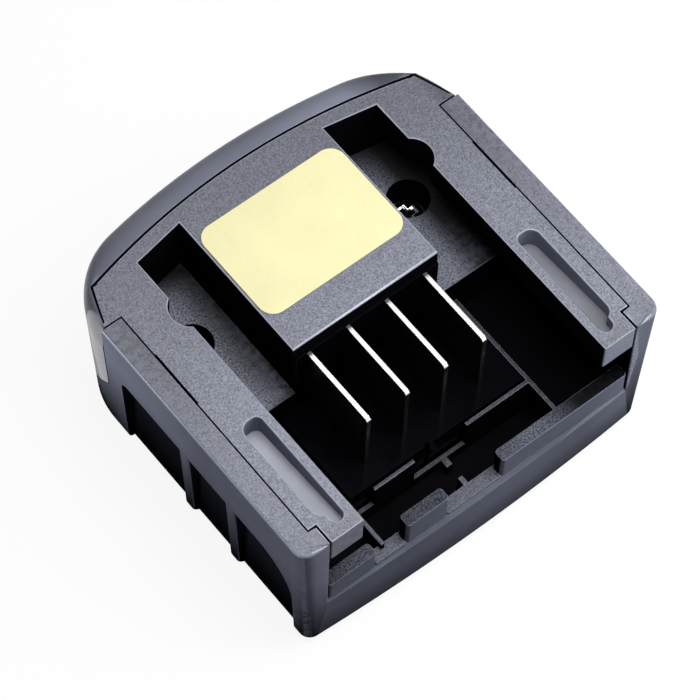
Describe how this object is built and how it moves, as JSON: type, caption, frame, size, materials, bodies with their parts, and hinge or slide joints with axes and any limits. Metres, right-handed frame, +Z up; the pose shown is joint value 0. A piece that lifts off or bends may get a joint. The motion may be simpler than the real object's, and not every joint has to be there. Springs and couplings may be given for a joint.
{
  "type": "battery charger",
  "caption": "Desk charging dock for a slide-on tool battery: railed arms round an open bay, upright contact blades and a raised platform behind them.",
  "frame": {"origin": "on the table under the feet, at the middle of the dock's footprint", "axes": "+Z up, +Y to the curved rear with the power inlet, -Y to the open front where the battery slides in, +X across the dock"},
  "size_m": [0.0784, 0.0755, 0.0362],
  "materials": {
    "housing_plastic": "fine spark-eroded grain",
    "terminal_plastic": "smooth and glossy",
    "label_film": "bare pale yellow film",
    "board_laminate": "solder mask",
    "solder": "bright fillets",
    "screw_steel": "zinc plated",
    "foot_rubber": "moulded",
    "inlet_plastic": "moulded",
    "contact_metal": "nickel plated",
    "blade_metal": "plated strip",
    "chip_plastic": "moulded resin",
    "ferrite": "pressed ferrite",
    "copper_wire": "enamelled wire",
    "capacitor_can": "drawn can",
    "sink_aluminium": "extruded",
    "fuse_body": "moulded",
    "resistor_film": "glazed top",
    "ceramic": "fired ceramic",
    "lamp_lens": "tinted resin",
    "window_clear": "clear moulding"
  },
  "bodies": {
    "root": {"upper_housing": "housing_plastic", "lower_housing": "housing_plastic", "terminal_block": "terminal_plastic", "platform_label": "label_film", "circuit_board": "board_laminate", "blade_solder_joints": "solder", "well_screws": "screw_steel", "base_screws": "screw_steel", "board_screws": "screw_steel", "rubber_feet": "foot_rubber", "inlet_body": "inlet_plastic", "inlet_centre_pin": "contact_metal", "inlet_sleeve_contact": "contact_metal", "controller_chip": "chip_plastic", "blocking_diode": "chip_plastic", "inductor_core": "ferrite", "inductor_winding": "copper_wire", "input_capacitor": "capacitor_can", "output_capacitor": "capacitor_can", "heat_sink": "sink_aluminium", "charge_transistor": "chip_plastic", "input_fuse": "fuse_body", "chip_resistors": "resistor_film", "chip_capacitors": "ceramic", "indicator_lamp": "lamp_lens", "indicator_window": "window_clear", "blade_battery_positive": "blade_metal", "blade_pack_sense": "blade_metal", "blade_temperature_sense": "blade_metal", "blade_battery_negative": "blade_metal"}
  },
  "joints": []
}
